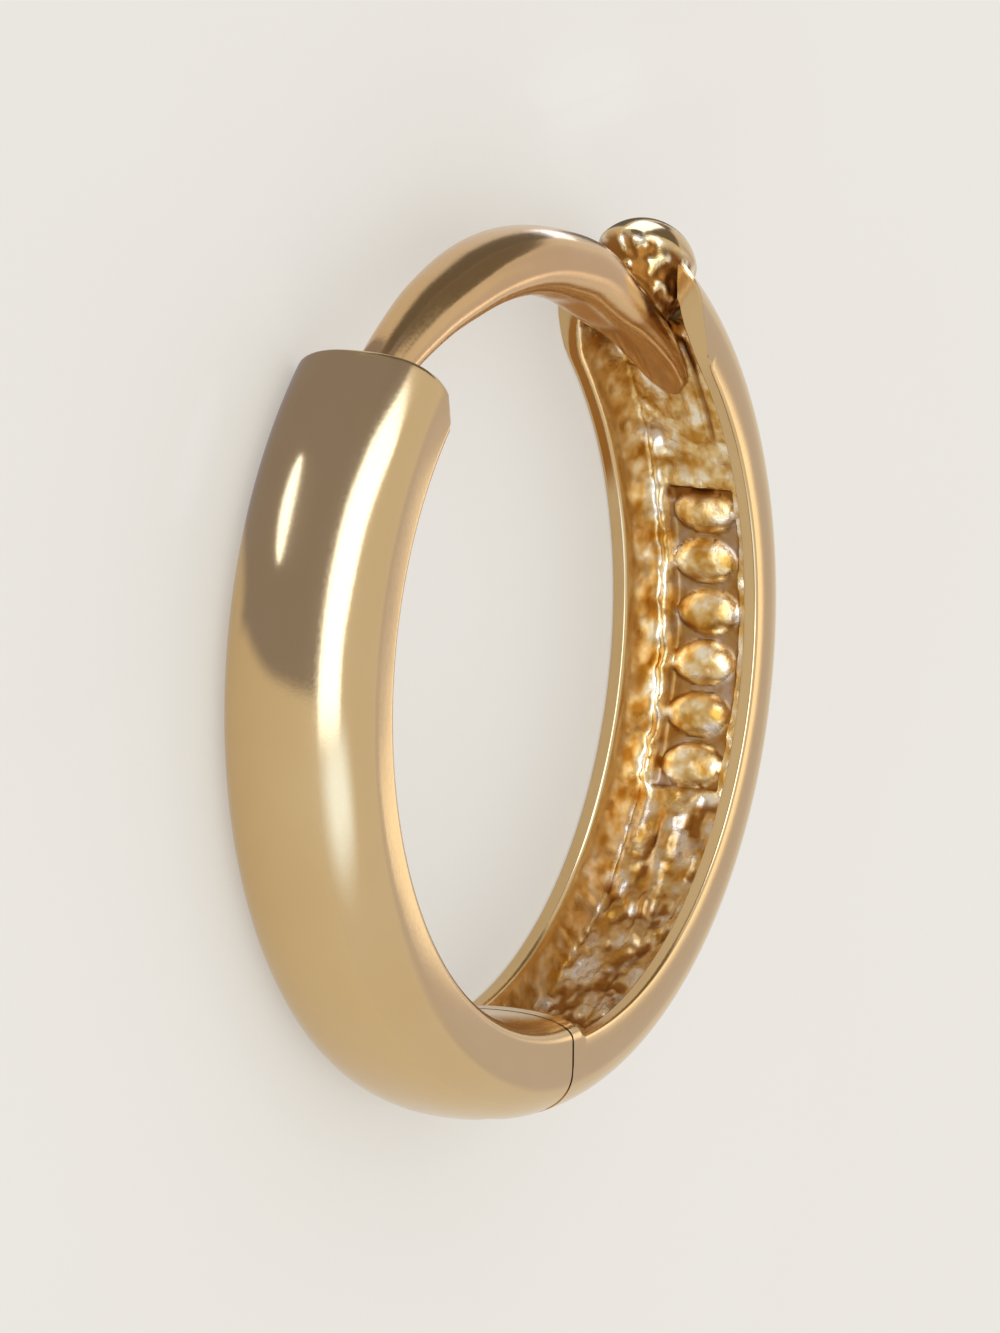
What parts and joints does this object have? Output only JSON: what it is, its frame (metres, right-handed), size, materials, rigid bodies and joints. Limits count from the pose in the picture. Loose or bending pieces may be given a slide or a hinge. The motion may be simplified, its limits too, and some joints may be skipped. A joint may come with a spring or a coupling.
{
  "type": "huggie hoop earring",
  "caption": "Hinged huggie hoop earring: a domed front half swings on the hollow-backed rear half, and an arched ear post under a round rivet slides into the front half's socket.",
  "frame": {"origin": "under the middle of the closed earring, on the floor it lies on", "axes": "+Z along the hoop's axis, up as it lies on its side; +X towards the middle of the back half; +Y towards the top of the ear post; the hinge seam is at -Y"},
  "size_m": [0.013, 0.0126, 0.0023],
  "materials": {
    "cast_gold": "yellow gold, polished outside, rough as cast in the trough",
    "polished_gold": "polished yellow gold",
    "satin_gold": "softly polished yellow gold",
    "mirror_gold": "mirror polished yellow gold",
    "pin_gold": "drawn gold wire"
  },
  "bodies": {
    "back": {"back_half": "cast_gold", "ear_post": "satin_gold", "post_rivet": "mirror_gold"},
    "front": {"front_half": "polished_gold", "hinge_pin": "pin_gold"}
  },
  "joints": [
    {"name": "front_swing", "type": "hinge", "parent": "back", "child": "front", "pos_m": [-0.00101, -0.00569, 0.00117], "axis": [0, 0, 1], "range_deg": [0, 50]}
  ]
}
